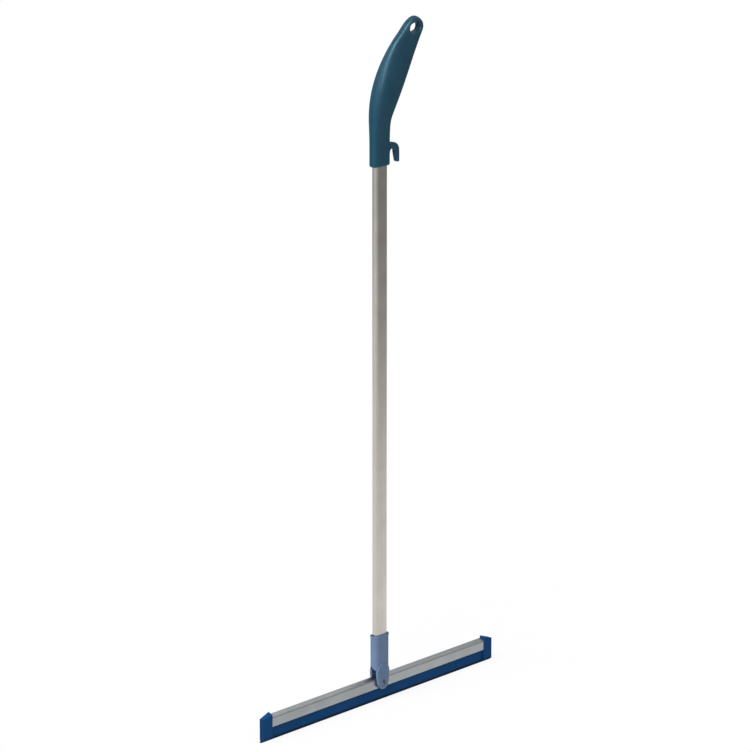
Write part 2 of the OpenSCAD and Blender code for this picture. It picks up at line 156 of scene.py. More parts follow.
# tube, and the screw that holds it in the socket
TUBE_W = 28.5
TUBE_D = 12
TUBE_WALL = 1.2
TUBE_LOW = 69.1
TUBE_TOP = 952.1
TUBE_EDGE = 0.25
SOCKET_SCREW_Z = 87.1
SOCKET_TIP = 1

# grip, with heights over the collar's lower end
COLLAR_Z = 886.1
GRIP_LEN = 229.5
COLLAR_W = 38.5
COLLAR_H = 30
COLLAR_T = 18.4
COLLAR_EDGE = 3
BELLY_T = 27
TOP_T = 15.4
TOP_W = 26.8
BEND_START = 71.5
BACK_TURN = 66.7  # angle of the back's arc, in degrees
PALM_SOFT = 4.3  # softness of the bend in the palm side
TIP_H = 26
CAP_SHIFT = -19.3  # shift of the top's middle
CAP_POWER = 3.46
GRIP_SQUARE = 3.0  # power of the section: 2 is an ellipse
POCKET_PAST = 2.1
POCKET_EDGE = 0.6
SEAM = 0.4

# hanging hole: a slanted oval with a flare on both sides, its turn and flare in degrees
HANG_X = 76.8
HANG_Z = 211.5
HANG_W = 14.9
HANG_L = 25
HANG_TURN = 74
HANG_LAND = 8.8  # straight depth between the flares
HANG_FLARE = 16
HANG_EDGE = 1.2

# side hook
HOOK_GAP = 14.6
HOOK_T = 8
HOOK_THIN = 3.2  # taper of the leg
HOOK_W = 10.4
HOOK_Z = 25.5
HOOK_ROOT = 9.5
HOOK_TIP = 2
HOOK_FLAT = 1  # outer arch is tighter by this
HOOK_EDGE = 2.2
HOOK_FILLET = 1.4

# small cross-head screws, and the place of each grip screw in X and in Z over the collar
GRIP_SCREWS = {
    "grip_screw_low": (0, 48),
    "grip_screw_mid": (21.155, 127.75),
    "grip_screw_top": (55.185, 185.9),
}
SCREW_R = 1.75
SCREW_HEAD_R = 3.2
SCREW_HEAD_H = 1.8
SCREW_HEAD_EDGE = 0.7
SCREW_TIP_EDGE = 0.6
SCREW_FILLET = 0.3
SCREW_SHORT = 0.2  # short of the hole's end
CROSS_W = 0.9
CROSS_D = 1.0
CROSS_REACH = 0.6 * SCREW_HEAD_R
CROSS_EDGE = 0.15
SINK_D = 0.2
SINK_EDGE = 0.3
SCREW_HOLE_EDGE = 0.1

# clearances
RUN_FIT = 0.05
SEAT_FIT = 0.1
PASS_FIT = 0.4

# depth by which one form runs into the next, so that the two join
LAP = 1

# grids that the fields are meshed on: step, extent and spare room
BLADE_GRID = 0.4
BLADE_GRID_Y = 5.2
BLADE_GRID_Z = (-0.6, 46.6)
BLADE_END_GRID = 0.42
BLADE_LONG_GRID = 6
BLADE_FINE_IN = 4
BLADE_ROOM = 1.2
PIVOT_SCREW_GRID = 0.23
PIVOT_SCREW_REACH = 5.6
NUT_GRID = 0.22
NUT_REACH = 6.2
SMALL_SCREW_GRID = 0.24
SMALL_SCREW_REACH = 3.6
SCREW_ROOM = 0.5
YOKE_GRID = 0.55
YOKE_GRID_X = 19
YOKE_GRID_Y = 9.6
YOKE_GRID_Z = (17.5, 113)
GRIP_GRID = 0.85
GRIP_GRID_X = (-21, 104)
GRIP_GRID_Y = (-0.6, 17)
GRIP_ROOM = 1

# points on round and long meshes
ROUND_SIDES = 96
PROFILE_CUTS = 35
TUBE_CUTS = 24
TUBE_ARC = 40

# edges that bend by more than this stay sharp, in degrees
SHARP_DRAWN = 40
SHARP_TURNED = 50

HALF_T = PROFILE_T / 2
PROFILE_Z = BLADE_SHOW + PROFILE_H
SLOPE = PROFILE_RISE / PROFILE_T
PROFILE_HALF = BLADE_LEN / 2 - END_LEN
INNER_HALF = HALF_T - PROFILE_WALL
MOUTH_HALF = INNER_HALF - MOUTH_LIP
BUSH_R = PIVOT_R + RUN_FIT + BUSH_WALL
HEAD_SEAT = -EAR_Y + HEAD_SINK
HEAD_TOP = HEAD_SEAT - HEAD_H
NUT_SEAT = EAR_Y + NUT_WASHER_T
NUT_CORNER_R = NUT_AF / 2 / math.cos(math.pi / 6)
SCREW_END = NUT_SEAT + NUT_H + NUT_COLLAR + SCREW_PAST
HALF_COLLAR = COLLAR_W / 2
BACK_R = (GRIP_LEN - BEND_START) / math.sin(math.radians(BACK_TURN))
BACK_SHIFT = BACK_R * (1 - math.cos(math.radians(BACK_TURN)))
PALM_SLOPE = (TOP_W - COLLAR_W + BACK_SHIFT) / (GRIP_LEN - BEND_START)
CAP_Z = GRIP_LEN - TIP_H


# Distance fields: negative inside, in millimetres

def both(a, b, r):
    """Common part of two fields, with the edge between them rounded to r."""
    return np.minimum(-r, np.maximum(a, b)) + np.hypot(np.maximum(a + r, 0), np.maximum(b + r, 0))


def either(a, b, r):
    """Union of two fields, with a fillet of r."""
    return -both(-a, -b, r)


def less(a, b, r):
    """Field a without field b, with the new edge rounded to r."""
    return both(a, -b, r)


def span(v, low, high):
    """Slab between two values."""
    return np.maximum(low - v, v - high)


def oval(x, y, w, d):
    """Flat oval of width w and depth d, with half-round sides."""
    return np.hypot(np.maximum(np.abs(x) - (w - d) / 2, 0), y) - d / 2


def hexagon(u, v, flats):
    """Hexagon of a size across its flats, about the origin."""
    return np.maximum(np.abs(v), np.abs(u) * math.cos(math.pi / 6) + np.abs(v) / 2) - flats / 2


def steps(low, high, size):
    """Even grid from low to high, with steps of about this size."""
    return np.linspace(low, high, max(2, int(round((high - low) / size)) + 1))


def crossings(value, axes, cells):
    """Middle of the points where each cell's edges cross the field's zero."""
    total = np.zeros((len(cells), 3))
    hits = np.zeros(len(cells))
    for a in np.ndindex(2, 2, 2):
        for axis in range(3):
            if a[axis]:
                continue
            b = list(a)
            b[axis] = 1
            ca, cb = cells + a, cells + b
            va, vb = value[tuple(ca.T)], value[tuple(cb.T)]
            cross = (va < 0) != (vb < 0)
            t = np.where(cross, va / np.where(cross, va - vb, 1), 0)
            pa = np.stack([axes[i][ca[:, i]] for i in range(3)], 1)
            pb = np.stack([axes[i][cb[:, i]] for i in range(3)], 1)
            total += np.where(cross[:, None], pa + (pb - pa) * t[:, None], 0)
            hits += cross
    return total / hits[:, None]


def cell_quads(inside, index):
    """Quads that join the four cells about each grid edge that crosses the surface."""
    n = np.array(index.shape)
    faces = []
    for axis in range(3):
        u, v = [i for i in range(3) if i != axis]
        low = np.take(inside, range(n[axis]), axis)
        high = np.take(inside, range(1, n[axis] + 1), axis)
        edges = np.argwhere(low != high)
        edges = edges[(edges[:, u] > 0) & (edges[:, u] < n[u]) & (edges[:, v] > 0) & (edges[:, v] < n[v])]
        ring = []
        for du, dv in ((1, 1), (0, 1), (0, 0), (1, 0)):
            c = edges.copy()
            c[:, u] -= du
            c[:, v] -= dv
            ring.append(index[tuple(c.T)])
        quads = np.stack(ring, 1)
        turned = low[tuple(edges.T)] ^ (axis == 1)
        quads[~turned] = quads[~turned][:, ::-1]
        faces.append(quads)
    return np.concatenate(faces)


def settle(field, points, reach, step=0.02, rounds=4):
    """Points moved onto the field's zero, and the field's normals there."""
    for _ in range(rounds):
        slope = np.stack([(field(*(points + d).T) - field(*(points - d).T)) / (2 * step)
                          for d in step * np.eye(3)], 1)
        size = np.maximum((slope ** 2).sum(1), 1e-6)
        move = -(field(*points.T) / size)[:, None] * slope
        length = np.linalg.norm(move, axis=1, keepdims=True)
        points = points + move * np.minimum(1, reach / np.maximum(length, 1e-9))
    return points, slope / np.sqrt(size)[:, None]


def net(field, xs, ys, zs):
    """Closed quad mesh of field = 0 on a grid, settled on the field, with the field's own normals."""
    axes = (xs, ys, zs)
    value = field(*np.meshgrid(*axes, indexing="ij"))
    inside = value < 0
    n = np.array(value.shape) - 1
    count = sum(inside[i:i + n[0], j:j + n[1], k:k + n[2]].astype(np.int8)
                for i, j, k in np.ndindex(2, 2, 2))
    active = (count > 0) & (count < 8)
    index = np.full(n, -1)
    index[active] = np.arange(active.sum())
    points = crossings(value, axes, np.argwhere(active))
    reach = 0.6 * min(np.diff(a).min() for a in axes)
    points, normals = settle(field, points, reach)
    return points, cell_quads(inside, index), normals


# Making pieces

def piece(name, body, node, material, points, faces, normals=None, sharp=None):
    """A mesh in the part's frame that rides on a body and stands for a CAD node."""
    mesh = bpy.data.meshes.new(name)
    mesh.from_pydata((np.asarray(points) * MM).tolist(), [], [list(map(int, f)) for f in faces])
    if normals is None:
        bm = bmesh.new()
        bm.from_mesh(mesh)
        bmesh.ops.recalc_face_normals(bm, faces=bm.faces)
        bm.to_mesh(mesh)
        bm.free()
    mesh.shade_smooth()
    if normals is not None:
        mesh.normals_split_custom_set_from_vertices([tuple(v) for v in normals])
    if sharp is not None:
        mesh.set_sharp_from_angle(angle=math.radians(sharp))
    mesh.materials.append(material)
    obj = bpy.data.objects.new(name, mesh)
    bpy.context.scene.collection.objects.link(obj)
    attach(obj, body)
    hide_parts(node)
    return obj


def sweep(outlines, closed=True):
    """Mesh through outlines of as many points each: a closed ring of them, or capped at both ends."""
    k, n = len(outlines), len(outlines[0])
    faces = [[a * n + i, a * n + (i + 1) % n, ((a + 1) % k) * n + (i + 1) % n, ((a + 1) % k) * n + i]
             for a in range(k if closed else k - 1) for i in range(n)]
    if not closed:
        faces += [list(range(n))[::-1], list(range((k - 1) * n, k * n))]
    return np.concatenate(outlines), faces


def pivot_ring(r, y):
    """Circle about the pivot's axis."""
    a = np.linspace(0, 2 * math.pi, ROUND_SIDES, endpoint=False)
    return np.stack([r * np.cos(a), np.full(ROUND_SIDES, y), PIVOT_Z + r * np.sin(a)], 1)


def washer(r_out, r_in, y0, y1, edge):
    """Ring about the pivot with bevelled edges."""
    loop = [(r_in + edge, y0), (r_out - edge, y0), (r_out, y0 + edge), (r_out, y1 - edge),
            (r_out - edge, y1), (r_in + edge, y1), (r_in, y1 - edge), (r_in, y0 + edge)]
    return sweep([pivot_ring(r, y) for r, y in loop])


def drill(obj, r, reach, sharp):
    """Round hole about the pivot through a piece, from -reach to reach in Y."""
    points, faces = sweep([pivot_ring(r, y) for y in (reach, -reach)], closed=False)
    rod = bpy.data.objects.new("rod", bpy.data.meshes.new("rod"))
    rod.data.from_pydata((points * MM).tolist(), [], faces)
    bpy.context.scene.collection.objects.link(rod)
    cut = obj.modifiers.new("drill", "BOOLEAN")
    cut.operation, cut.solver, cut.object = "DIFFERENCE", "EXACT", rod
    mesh = bpy.data.meshes.new_from_object(obj.evaluated_get(bpy.context.evaluated_depsgraph_get()))
    obj.modifiers.clear()
    obj.data = mesh
    mesh.set_sharp_from_angle(angle=math.radians(sharp))
    bpy.data.objects.remove(rod)


def rounded(corners, segments=5):
    """Polygon from (u, v, radius) corners, with each corner turned into an arc."""
    out = []
    for i, (u, v, r) in enumerate(corners):
        p = np.array([u, v], float)
        if r <= 0:
            out.append(p)
            continue
        a = np.array(corners[i - 1][:2], float) - p
        b = np.array(corners[(i + 1) % len(corners)][:2], float) - p
        a, b = a / np.linalg.norm(a), b / np.linalg.norm(b)
        half = math.acos(np.clip(a @ b, -1, 1)) / 2
        centre = p + (a + b) / np.linalg.norm(a + b) * r / math.sin(half)
        start, end = p + a * r / math.tan(half) - centre, p + b * r / math.tan(half) - centre
        turn = math.atan2(start[0] * end[1] - start[1] * end[0], start @ end)
        for k in range(segments + 1):
            c, s = math.cos(turn * k / segments), math.sin(turn * k / segments)
            out.append(centre + np.array([start[0] * c - start[1] * s, start[0] * s + start[1] * c]))
    return np.array(out)


# Materials

def shader(name, **values):
    """New material with its main shader, and sockets set by name."""
    material = bpy.data.materials.new(name)
    material.use_nodes = True
    tree = material.node_tree
    bsdf = tree.nodes["Principled BSDF"]
    for key, value in values.items():
        bsdf.inputs[key.replace("_", " ")].default_value = value
    return material, tree, bsdf


def noise(tree, scale, stretch=(1, 1, 1), detail=3, rough=0.5):
    """Noise in the part's frame, scale in cells per metre."""
    place = tree.nodes.new("ShaderNodeTexCoord")
    mapping = tree.nodes.new("ShaderNodeMapping")
    mapping.inputs["Scale"].default_value = stretch
    texture = tree.nodes.new("ShaderNodeTexNoise")
    texture.inputs["Scale"].default_value = scale
    texture.inputs["Detail"].default_value = detail
    texture.inputs["Roughness"].default_value = rough
    tree.links.new(place.outputs["Object"], mapping.inputs["Vector"])
    tree.links.new(mapping.outputs["Vector"], texture.inputs["Vector"])
    return texture.outputs["Fac"]


def ramp(tree, fac, low, high):
    """Colour or value that runs between two stops of (place, colour or number)."""
    node = tree.nodes.new("ShaderNodeValToRGB")
    for element, (place, value) in zip(node.color_ramp.elements, (low, high)):
        element.position = place
        element.color = (*value, 1) if isinstance(value, (tuple, list)) else (value, value, value, 1)
    tree.links.new(fac, node.inputs["Fac"])
    return node.outputs["Color"]


def blend(tree, kind, fac, a, b):
    """Mix of two colours; fac, a and b are sockets or values."""
    node = tree.nodes.new("ShaderNodeMix")
    node.data_type, node.blend_type = "RGBA", kind
    for socket, value in ((node.inputs[0], fac), (node.inputs[6], a), (node.inputs[7], b)):
        if isinstance(value, bpy.types.NodeSocket):
            tree.links.new(value, socket)
        else:
            socket.default_value = value if isinstance(value, (int, float)) else (*value, 1)
    return node.outputs[2]


def bump(tree, height, strength, distance, before=None):
    """Normal raised by a height, over another bump if one is given."""
    node = tree.nodes.new("ShaderNodeBump")
    node.inputs["Strength"].default_value = strength
    node.inputs["Distance"].default_value = distance
    tree.links.new(height, node.inputs["Height"])
    if before is not None:
        tree.links.new(before, node.inputs["Normal"])
    return node.outputs["Normal"]


def edges(tree, low, high):
    """1 on raised edges, 0 on flat and hollow ground."""
    place = tree.nodes.new("ShaderNodeNewGeometry")
    return ramp(tree, place.outputs["Pointiness"], (low, 0.0), (high, 1.0))


def painted_recess_shade(tree, reach, dark):
    """Painted shade: a factor that falls to dark where the ground within reach is walled in."""
    node = tree.nodes.new("ShaderNodeAmbientOcclusion")
    node.samples = 8
    node.inputs["Distance"].default_value = reach
    return ramp(tree, node.outputs["AO"], (0.25, dark), (0.75, 1.0))


def scaled(colour, by):
    """Colour made darker or lighter."""
    return tuple(min(1, c * by) for c in colour)


def moulded(name, colour, rough, grain, depth, edge_rub_and_light=0.25, spread=0.07, **more):
    """Moulded plastic or rubber: cloudy tone, fine grain, lighter rubbed edges that double as a painted
    highlight, and painted shade in the hollows.
    """
    material, tree, bsdf = shader(name, **more)
    cloud = noise(tree, 28, detail=4)
    tone = ramp(tree, cloud, (0.3, scaled(colour, 1 - spread)), (0.7, scaled(colour, 1 + spread)))
    speck = ramp(tree, noise(tree, grain * 0.6, detail=2), (0.35, 0.94), (0.65, 1.05))
    tone = blend(tree, "MULTIPLY", 1.0, tone, speck)
    # lighter raised edges: rubbing, and a painted highlight where the edges catch the light
    rubbed_and_lit_edges = blend(tree, "MULTIPLY", 1.0, edges(tree, 0.52, 0.62), (edge_rub_and_light,) * 3)
    tone = blend(tree, "MIX", rubbed_and_lit_edges, tone, scaled(colour, 1.6))
    # painted shade: darker where the ground is walled in, from ambient occlusion
    tone = blend(tree, "MULTIPLY", 1.0, tone, painted_recess_shade(tree, 0.014, 0.5))
    tree.links.new(tone, bsdf.inputs["Base Color"])
    sheen = ramp(tree, noise(tree, 55, detail=4), (0.3, rough - 0.05), (0.7, rough + 0.06))
    tree.links.new(sheen, bsdf.inputs["Roughness"])
    first = bump(tree, noise(tree, grain, detail=2), 0.25, depth)
    tree.links.new(bump(tree, noise(tree, 70, detail=2), 0.04, 0.0004, first), bsdf.inputs["Normal"])
    return material


def tint_range(material, axis, start, end, colour):
    """Other tone that fades in from start to end along an axis, in millimetres; X counts both ways."""
    tree = material.node_tree
    base = tree.nodes["Principled BSDF"].inputs["Base Color"]
    place = tree.nodes.new("ShaderNodeTexCoord")
    parts = tree.nodes.new("ShaderNodeSeparateXYZ")
    tree.links.new(place.outputs["Object"], parts.inputs[0])
    size = tree.nodes.new("ShaderNodeMath")
    size.operation = "ABSOLUTE"
    tree.links.new(parts.outputs[axis], size.inputs[0])
    fade = tree.nodes.new("ShaderNodeMapRange")
    fade.inputs["From Min"].default_value = start * MM
    fade.inputs["From Max"].default_value = end * MM
    tree.links.new(size.outputs[0], fade.inputs["Value"])
    tree.links.new(blend(tree, "MIX", fade.outputs[0], base.links[0].from_socket, colour), base)


def drawn(name, colour, rough, along, lines=900, spread=0.06):
    """Drawn or extruded metal: fine lines along one axis, cloudy tone and faint handling marks."""
    material, tree, bsdf = shader(name, Metallic=1.0)
    stretch = [1.0, 1.0, 1.0]
    stretch[along] = 0.002
    fine = noise(tree, lines, stretch, detail=4, rough=0.6)
    wide = noise(tree, lines * 0.22, stretch, detail=2)
    tone = ramp(tree, fine, (0.25, scaled(colour, 1 - spread)), (0.75, scaled(colour, 1 + spread)))
    tone = blend(tree, "MULTIPLY", 1.0, tone, ramp(tree, wide, (0.3, 0.95), (0.7, 1.04)))
    cloud = ramp(tree, noise(tree, 22, detail=5), (0.35, 0.95), (0.7, 1.03))
    tone = blend(tree, "MULTIPLY", 1.0, tone, cloud)
    tree.links.new(tone, bsdf.inputs["Base Color"])
    marks = ramp(tree, noise(tree, 40, detail=2), (0.3, rough - 0.04), (0.75, rough + 0.05))
    scratched = blend(tree, "ADD", 0.12, marks, ramp(tree, fine, (0.3, 0.0), (0.7, 0.6)))
    tree.links.new(scratched, bsdf.inputs["Roughness"])
    tree.links.new(bump(tree, fine, 0.06, 0.00003), bsdf.inputs["Normal"])
    return material


X, Y, Z = range(3)
GRIP = moulded("grip_plastic", (0.0155, 0.073, 0.120), rough=0.42, grain=1500, depth=0.000016, edge_rub_and_light=0.2,
               Specular_IOR_Level=0.14)
YOKE = moulded("yoke_plastic", (0.14, 0.217, 0.362), rough=0.48, grain=1300, depth=0.00008, edge_rub_and_light=0.3,
               Specular_IOR_Level=0.25)
PLUG = moulded("plug_plastic", (0.075, 0.085, 0.095), rough=0.5, grain=1200, depth=0.00006)
WASHER = moulded("washer_plastic", (0.68, 0.68, 0.64), rough=0.42, grain=1200, depth=0.00004, edge_rub_and_light=0.1)
RUBBER = moulded("blue_rubber", (0.006, 0.0645, 0.203), rough=0.55, grain=1700, depth=0.00008, edge_rub_and_light=0.12,
                 spread=0.1, Specular_IOR_Level=0.06)
# painted shade near the floor along the wiping edge, and painted shade on the end faces
tint_range(RUBBER, "Z", FLOOR_SHADE_FADE_Z, FLOOR_SHADE_FULL_Z, (0.003, 0.010, 0.026))
# darker end faces: painted shade, so the lit ends read no lighter than the front
tint_range(RUBBER, "X", BLADE_LEN / 2, BLADE_LEN / 2 + END_FACE_SHADE, (0.0045, 0.040, 0.128))
PROFILE = drawn("profile_metal", (0.372, 0.391, 0.399), rough=0.35, along=X)
TUBE = drawn("tube_metal", (0.635, 0.60, 0.552), rough=0.35, along=Z)
STEEL = drawn("steel", (0.56, 0.57, 0.57), rough=0.3, along=Y, lines=1500)
PIN = drawn("pin_steel", (0.20, 0.245, 0.255), rough=0.42, along=Y, lines=1500)
BRASS = drawn("brass", (0.62, 0.46, 0.19), rough=0.3, along=Y, lines=1500)


# Head: rubber blade, profile, bush and friction washers

def top_at(y):
    """Height of the profile's sloping top."""
    return PROFILE_Z + (y + HALF_T) * SLOPE


def strip_field(x, y, z):
    """The blade between its end blocks: strip, shoulder, and two lips that run past it."""
    ax, ay = np.abs(x), np.abs(y)
    half = HALF_T - BLADE_INSET
    strip = both(span(z, 0, BLADE_SHOW), ay - half, STRIP_EDGE)
    strip = np.maximum(strip, np.minimum(ay - half + SHOULDER_OUT, BLADE_SHOW - SHOULDER_H - z))
    tilt = LIP_GAP / 2 / LIP_GROOVE
    strip = np.maximum(strip, -(ay + tilt * (z - LIP_GROOVE)) / math.hypot(1, tilt))
    lip_span = span(x, -BLADE_LEN / 2 - LIP_LEFT, BLADE_LEN / 2 + LIP_RIGHT)
    lips = both(np.maximum(strip, z - LIP_H), lip_span, LIP_EDGE)
    return np.minimum(lips, both(strip, ax - BLADE_LEN / 2 + STRIP_BACK, LIP_EDGE))


def blade_field(x, y, z):
    """Strip, the neck that sits in the profile, and the end blocks with their falling, twisted tops."""
    ax, ay = np.abs(x), np.abs(y)
    neck = np.maximum(ay - MOUTH_HALF + SEAT_FIT, ax - PROFILE_HALF)
    neck = np.maximum(neck, span(z, BLADE_SHOW - NECK_LOW, BLADE_SHOW + NECK_HIGH))
    end_half = HALF_T + END_PROUD
    plan = both(ax - BLADE_LEN / 2 - END_OUT, ay - end_half, END_CORNER)
    out = (ax - PROFILE_HALF) / END_LEN
    fall, tip = END_DROP / END_LEN, END_TIP * (1 - out) / (2 * end_half)
    top = z - (top_at(0) + END_RISE - END_DROP * out + tip * y)
    top = top / np.sqrt(1 + fall * fall + tip * tip)
    block = both(both(plan, top, END_TOP_EDGE), END_LOW - z, END_LOW_EDGE)
    block = both(block, PROFILE_HALF - ax, END_IN_EDGE)
    return either(np.minimum(strip_field(x, y, z), neck), block, END_FILLET)


inner = PROFILE_HALF - BLADE_FINE_IN
end_xs = steps(inner, BLADE_LEN / 2 + LIP_LEFT + BLADE_ROOM, BLADE_END_GRID)
middle_xs = steps(-inner, inner, BLADE_LONG_GRID)
xs = np.concatenate([-end_xs[::-1], middle_xs[1:-1], end_xs])
points, faces, normals = net(blade_field, xs, steps(-BLADE_GRID_Y, BLADE_GRID_Y, BLADE_GRID),
                             steps(*BLADE_GRID_Z, BLADE_GRID))
piece("blade_rubber", "head", "rubber_blade", RUBBER, points, faces, normals)

ceiling = PROFILE_WALL * math.sqrt(1 + SLOPE * SLOPE)
groove_z = PROFILE_Z - GROOVE_DROP
lip_z = BLADE_SHOW + MOUTH_LIP_H
section = rounded([
    (-MOUTH_HALF, BLADE_SHOW, MOUTH_LIP_EDGE),
    (-HALF_T, BLADE_SHOW, PROFILE_LOW_EDGE),
    (-HALF_T, groove_z - GROOVE_W / 2, GROOVE_EDGE),
    (-HALF_T + GROOVE_D, groove_z, 0),
    (-HALF_T, groove_z + GROOVE_W / 2, GROOVE_EDGE),
    (-HALF_T, PROFILE_Z, PROFILE_EDGE),
    (HALF_T, PROFILE_Z + PROFILE_RISE, PROFILE_EDGE),
    (HALF_T, BLADE_SHOW, PROFILE_LOW_EDGE),
    (MOUTH_HALF, BLADE_SHOW, MOUTH_LIP_EDGE),
    (MOUTH_HALF, lip_z, 0),
    (INNER_HALF, lip_z, 0),
    (INNER_HALF, top_at(INNER_HALF) - ceiling, 0),
    (-INNER_HALF, top_at(-INNER_HALF) - ceiling, 0),
    (-INNER_HALF, lip_z, 0),
    (-MOUTH_HALF, lip_z, 0)])
points, faces = sweep([np.column_stack([np.full(len(section), x), section])
                       for x in np.linspace(-PROFILE_HALF, PROFILE_HALF, PROFILE_CUTS)], closed=False)
profile = piece("blade_rail", "head", "blade_profile", PROFILE, points, faces,
                sharp=SHARP_DRAWN)
drill(profile, BUSH_R, HALF_T + LAP, SHARP_DRAWN)

points, faces = washer(BUSH_R, PIVOT_R + RUN_FIT, -HALF_T, HALF_T, BUSH_EDGE)
piece("pivot_sleeve", "head", "pivot_bush", BRASS, points, faces, sharp=SHARP_TURNED)
for name, node, y in (("friction_ring_front", "front_friction_washer", -HALF_T - FRICTION_T),
                      ("friction_ring_back", "back_friction_washer", HALF_T)):
    points, faces = washer(FRICTION_R, PIVOT_R + PASS_FIT, y, y + FRICTION_T, RING_EDGE)
    piece(name, "head", node, WASHER, points, faces, sharp=SHARP_TURNED)


# Pivot screw, its washer and nut

def screw_field(x, y, z):
    """Pivot screw: crowned head with a hexagon socket, and a plain shank."""
    r = np.hypot(x, z - PIVOT_Z)
    crown = np.hypot(r, y - (HEAD_TOP + HEAD_CROWN_R)) - HEAD_CROWN_R
    head = both(crown, span(y, HEAD_TOP, HEAD_SEAT), HEAD_TOP_EDGE)
    head = both(head, r - HEAD_R, HEAD_RIM_EDGE)
    shank = both(r - PIVOT_R, span(y, HEAD_SEAT - LAP, SCREW_END), SHANK_EDGE)
    hole = np.maximum(hexagon(x, z - PIVOT_Z, HEX_AF), y - (HEAD_TOP + HEX_DEEP))
    return less(either(head, shank, SHANK_FILLET), hole, HEX_EDGE)


def nut_field(x, y, z):
    """Lock nut: chamfered hexagon with a round collar."""
    r = np.hypot(x, z - PIVOT_Z)
    nut = both(hexagon(z - PIVOT_Z, x, NUT_AF), span(y, NUT_SEAT, NUT_SEAT + NUT_H), NUT_EDGE)
    for rise in (NUT_SEAT - y, y - NUT_SEAT - NUT_H):
        nut = np.maximum(nut, (r - NUT_CORNER_R + NUT_CHAMFER + rise * NUT_CHAMFER_SLOPE) / 2)
    collar_span = span(y, NUT_SEAT + LAP, SCREW_END - SCREW_PAST)
    collar = both(r - NUT_AF / 2 + NUT_STEP, collar_span, NUT_COLLAR_EDGE)
    return less(either(nut, collar, NUT_FILLET), r - PIVOT_R - RUN_FIT, NUT_BORE_EDGE)


def about(x, z, r, y0, y1, size):
    """Grid round a piece of radius r that lies along Y from y0 to y1."""
    ys = steps(y0 - SCREW_ROOM, y1 + SCREW_ROOM, size)
    return steps(x - r, x + r, size), ys, steps(z - r, z + r, size)


grid = about(0, PIVOT_Z, PIVOT_SCREW_REACH, HEAD_TOP, SCREW_END, PIVOT_SCREW_GRID)
points, faces, normals = net(screw_field, *grid)
piece("pivot_bolt", "handle", "pivot_screw", PIN, points, faces, normals)
points, faces = washer(NUT_CORNER_R, PIVOT_R + RUN_FIT, EAR_Y, NUT_SEAT, RING_EDGE)
piece("nut_ring", "handle", "nut_washer", STEEL, points, faces, sharp=SHARP_TURNED)
points, faces, normals = net(nut_field, *about(0, PIVOT_Z, NUT_REACH, NUT_SEAT, SCREW_END, NUT_GRID))
piece("lock_nut", "handle", "pivot_nut", STEEL, points, faces, normals)


# Yoke and tube

def ear_outline(x, z):
    """Two circles of different size and their tangents."""
    height = EAR_Z - EAR_LOW_Z
    lean = (EAR_LOW_R - EAR_R) / height
    side = math.sqrt(1 - lean * lean)
    px, pz = np.abs(x), z - EAR_LOW_Z
    k = -lean * px + side * pz
    low, high = np.hypot(px, pz) - EAR_LOW_R, np.hypot(px, pz - height) - EAR_R
    return np.where(k < 0, low, np.where(k > side * height, high, side * px + lean * pz - EAR_LOW_R))


def tube_room(x, y):
    """Section of the room that a seat leaves for the tube."""
    return oval(x, y, TUBE_W + 2 * SEAT_FIT, TUBE_D + 2 * SEAT_FIT)


def yoke_field(x, y, z):
    """Socket and ears, less the slot, the tube's seat and the screw holes."""
    low = ROOF_Z - SLOT_HALF * ROOF_SLOPE - ROOF_SKIRT
    body = both(oval(x, y, SOCKET_W, SOCKET_D), span(z, low, RIM_Z), SOCKET_EDGE)
    bead = oval(x, y, SOCKET_W + 2 * BEAD_OUT, SOCKET_D + 2 * BEAD_OUT)
    bead = both(bead, span(z, RIM_Z - BEAD_H, RIM_Z), BEAD_EDGE)
    ears = both(ear_outline(x, z), span(y, -EAR_FRONT, EAR_Y), EAR_EDGE)
    solid = either(either(body, bead, YOKE_FILLET), ears, YOKE_FILLET)
    solid = less(solid, np.maximum(np.abs(y) - SLOT_HALF, z - ROOF_Z - ROOF_SLOPE * y), SLOT_EDGE)
    solid = less(solid, np.maximum(tube_room(x, y), FLOOR_Z - z), BORE_EDGE)
    mouth = np.maximum(oval(x, y, TUBE_W + 2 * MOUTH_OUT, TUBE_D + MOUTH_OUT / 2), RIM_Z - MOUTH_DEEP - z)
    solid = less(solid, mouth, MOUTH_EDGE)
    r = np.hypot(x, z - PIVOT_Z)
    solid = less(solid, r - PIVOT_R - RUN_FIT, YOKE_HOLE_EDGE)
    solid = less(solid, np.maximum(r - HEAD_R - SEAT_FIT, y - HEAD_SEAT), HEAD_RECESS_EDGE)
    screw_hole = np.maximum(np.hypot(x, z - SOCKET_SCREW_Z) - SCREW_R - RUN_FIT, -y)
    return less(solid, screw_hole, YOKE_HOLE_EDGE)


points, faces, normals = net(yoke_field, steps(-YOKE_GRID_X, YOKE_GRID_X, YOKE_GRID),
                             steps(-YOKE_GRID_Y, YOKE_GRID_Y, YOKE_GRID), steps(*YOKE_GRID_Z, YOKE_GRID))
piece("yoke_body", "handle", "yoke", YOKE, points, faces, normals)


def oval_ring(r, z):
    """Outline across the tube, at a distance r from the centres of its rounded sides."""
    a = np.linspace(-math.pi / 2, math.pi / 2, TUBE_ARC)
    c = (TUBE_W - TUBE_D) / 2
    x = np.concatenate([c + r * np.cos(a), -c - r * np.cos(a)])
    y = np.concatenate([r * np.sin(a), -r * np.sin(a)])
    return np.column_stack([x, y, np.full(len(x), z)])


